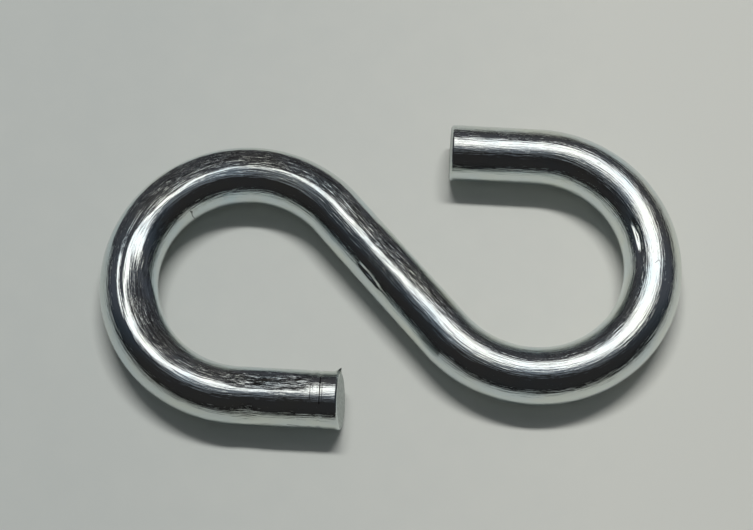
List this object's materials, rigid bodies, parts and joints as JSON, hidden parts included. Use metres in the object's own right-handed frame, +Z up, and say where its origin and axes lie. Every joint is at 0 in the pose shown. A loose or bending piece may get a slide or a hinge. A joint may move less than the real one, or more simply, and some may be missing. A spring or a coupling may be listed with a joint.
{
  "type": "s hook",
  "caption": "Open S-shaped hook of round steel wire with a bright zinc finish, to hang one thing from another. The bends open on opposite sides.",
  "frame": {"origin": "under the middle of the outline, on the surface that the hook lies on", "axes": "+Z up out of the flat side, +X along the overall length, from one bend to the other and along both straight tips"},
  "size_m": [0.0506, 0.0288, 0.005],
  "materials": {
    "zinc_plate": "bright zinc electroplate with a clear blue passivation, smooth and close to mirror bright"
  },
  "bodies": {
    "root": {"s_hook": "zinc_plate"}
  },
  "joints": []
}
